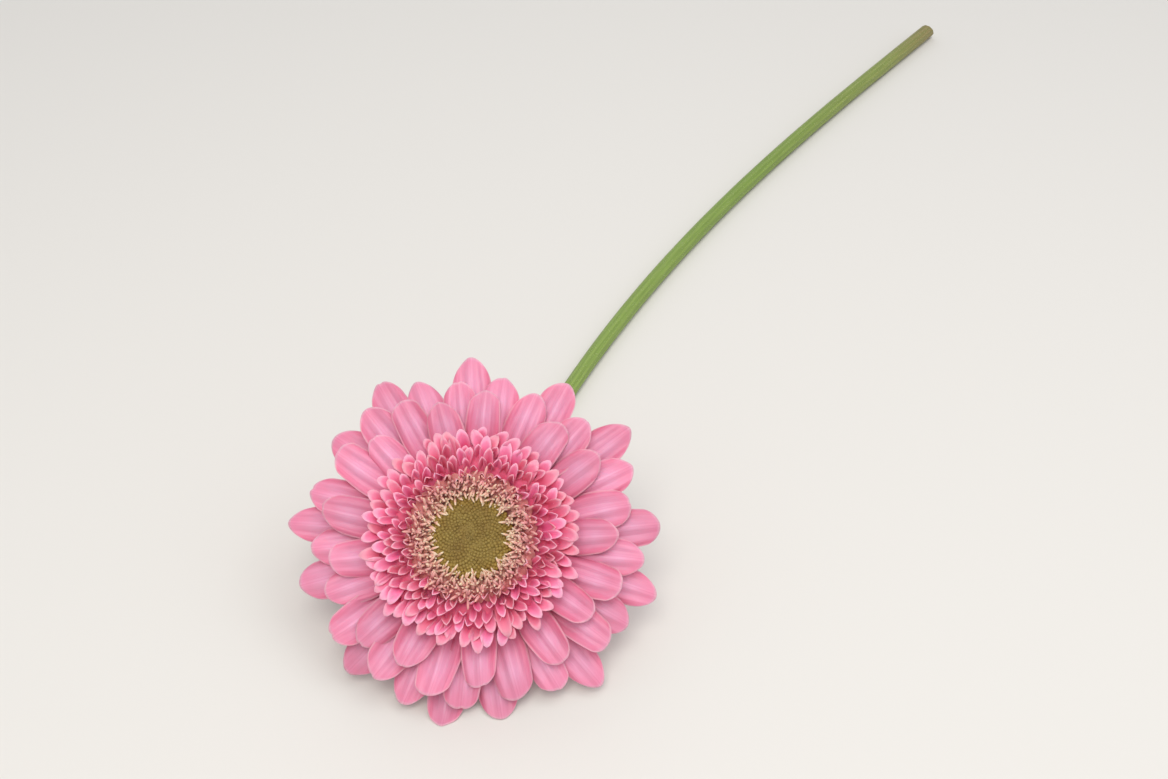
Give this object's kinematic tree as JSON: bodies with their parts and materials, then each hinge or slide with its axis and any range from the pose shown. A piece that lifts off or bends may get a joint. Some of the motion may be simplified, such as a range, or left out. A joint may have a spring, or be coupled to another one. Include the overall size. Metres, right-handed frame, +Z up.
{
  "type": "cut gerbera",
  "caption": "Cut gerbera lying on its side: a large double pink daisy head with a green eye, on a bare, leafless stalk.",
  "frame": {"origin": "middle of the bounding box on the plane of the table, z = 0, that the flower lies on", "axes": "+Y along the lying stalk from the head to the cut end, +Z up from the table, +X to the side that the face is turned to"},
  "size_m": [0.109, 0.5284, 0.0684],
  "materials": {
    "stalk_skin": "satin green skin, finely ribbed and downy",
    "receptacle_skin": "matt green",
    "bract_skin": "matt green, downy",
    "ray_petal": "satin petal, finely veined",
    "trans_petal": "satin petal",
    "disc_floret": "matt petal with cream tips",
    "disc_bud": "matt olive green"
  },
  "bodies": {
    "root": {"stalk": "stalk_skin", "receptacle": "receptacle_skin", "involucre_inner": "bract_skin", "involucre_outer": "bract_skin", "ray_floret_01": "ray_petal", "ray_floret_02": "ray_petal", "ray_floret_03": "ray_petal", "ray_floret_04": "ray_petal", "ray_floret_05": "ray_petal", "ray_floret_06": "ray_petal", "ray_floret_07": "ray_petal", "ray_floret_08": "ray_petal", "ray_floret_09": "ray_petal", "ray_floret_10": "ray_petal", "ray_floret_11": "ray_petal", "ray_floret_12": "ray_petal", "ray_floret_13": "ray_petal", "ray_floret_14": "ray_petal", "ray_floret_15": "ray_petal", "ray_floret_16": "ray_petal", "ray_floret_17": "ray_petal", "ray_floret_18": "ray_petal", "ray_floret_19": "ray_petal", "ray_floret_20": "ray_petal", "ray_floret_21": "ray_petal", "ray_floret_22": "ray_petal", "ray_floret_23": "ray_petal", "ray_floret_24": "ray_petal", "ray_floret_25": "ray_petal", "ray_floret_26": "ray_petal", "ray_floret_27": "ray_petal", "ray_floret_28": "ray_petal", "ray_floret_29": "ray_petal", "ray_floret_30": "ray_petal", "ray_floret_31": "ray_petal", "ray_floret_32": "ray_petal", "ray_floret_33": "ray_petal", "ray_floret_34": "ray_petal", "ray_floret_35": "ray_petal", "ray_floret_36": "ray_petal", "ray_floret_37": "ray_petal", "ray_floret_38": "ray_petal", "ray_floret_39": "ray_petal", "ray_floret_40": "ray_petal", "ray_floret_41": "ray_petal", "ray_floret_42": "ray_petal", "ray_floret_43": "ray_petal", "ray_floret_44": "ray_petal", "ray_floret_45": "ray_petal", "ray_floret_46": "ray_petal", "ray_floret_47": "ray_petal", "ray_floret_48": "ray_petal", "ray_floret_49": "ray_petal", "ray_floret_50": "ray_petal", "disc_florets": "disc_floret", "trans_florets_inner": "trans_petal", "trans_florets_middle": "trans_petal", "trans_florets_outer": "trans_petal", "disc_buds": "disc_bud"}
  },
  "joints": []
}
